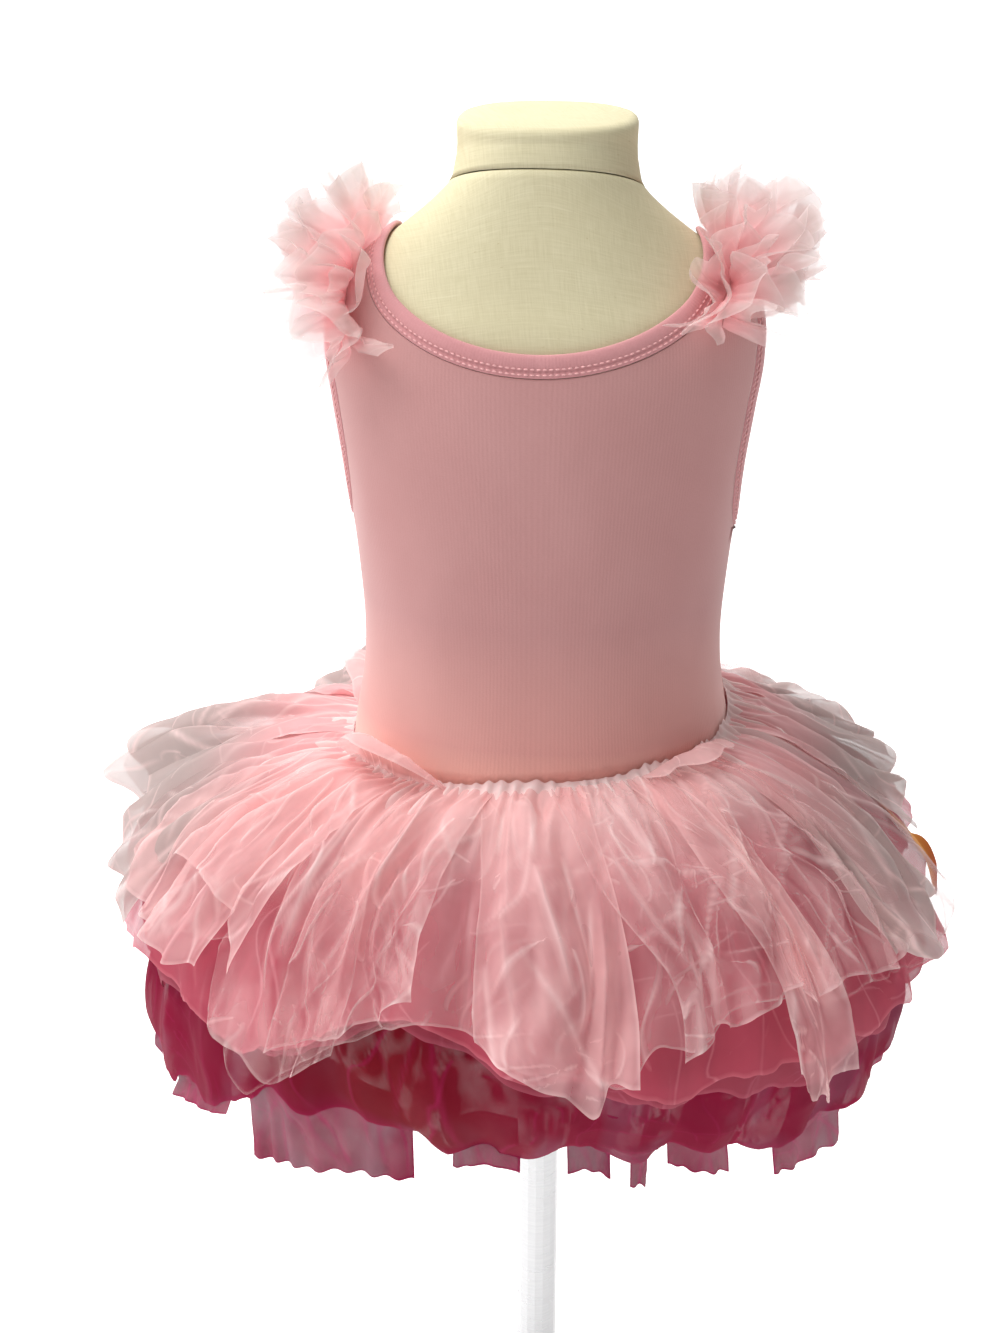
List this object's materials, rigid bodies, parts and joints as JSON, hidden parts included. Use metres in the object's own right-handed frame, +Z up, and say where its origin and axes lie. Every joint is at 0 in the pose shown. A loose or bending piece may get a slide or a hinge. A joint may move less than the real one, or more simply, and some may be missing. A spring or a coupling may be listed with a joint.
{
  "type": "ballet tutu on a dress form",
  "caption": "Child's ballet tutu on a limbless dress form: sleeveless stretch bodice, gathered tulle frills on the shoulders and a layered tulle skirt with longer strips, on a pole stand.",
  "frame": {"origin": "centre of the stand base's underside, on the floor", "axes": "+Z up along the pole; -Y out of the near side, which the picture shows; +X to the picture's right"},
  "size_m": [0.4828, 0.449, 0.946],
  "materials": {
    "linen": "undyed linen cover, plain weave",
    "jersey_pink": "pale pink stretch jersey",
    "binding_pink": "pale pink jersey binding",
    "tulle_pale": "pale pink tulle, sheer",
    "tulle_rose": "rose tulle, sheer",
    "tulle_magenta": "magenta tulle, sheer",
    "petal_orange": "orange and red petal cloth",
    "stand_metal": "satin"
  },
  "bodies": {
    "root": {"armhole_binding_left": "binding_pink", "armhole_binding_right": "binding_pink", "bodice_back": "jersey_pink", "bodice_front": "jersey_pink", "form_neck_cap": "linen", "form_torso": "linen", "frill_left_crown": "tulle_pale", "frill_left_inner": "tulle_pale", "frill_left_outer": "tulle_pale", "frill_right_crown": "tulle_pale", "frill_right_inner": "tulle_pale", "frill_right_outer": "tulle_pale", "magenta_strip_01": "tulle_magenta", "magenta_strip_02": "tulle_magenta", "magenta_strip_03": "tulle_magenta", "magenta_strip_04": "tulle_magenta", "magenta_strip_05": "tulle_magenta", "magenta_strip_06": "tulle_magenta", "magenta_strip_07": "tulle_magenta", "magenta_strip_08": "tulle_magenta", "magenta_strip_09": "tulle_magenta", "magenta_strip_10": "tulle_magenta", "magenta_strip_11": "tulle_magenta", "magenta_strip_12": "tulle_magenta", "magenta_strip_13": "tulle_magenta", "magenta_strip_14": "tulle_magenta", "magenta_strip_15": "tulle_magenta", "magenta_strip_16": "tulle_magenta", "neck_binding": "binding_pink", "petal_right": "petal_orange", "skirt_magenta_layer": "tulle_magenta", "skirt_tulle_lower": "tulle_rose", "skirt_tulle_middle": "tulle_pale", "skirt_tulle_top": "tulle_pale", "stand_base": "stand_metal", "stand_pole": "stand_metal"}
  },
  "joints": []
}
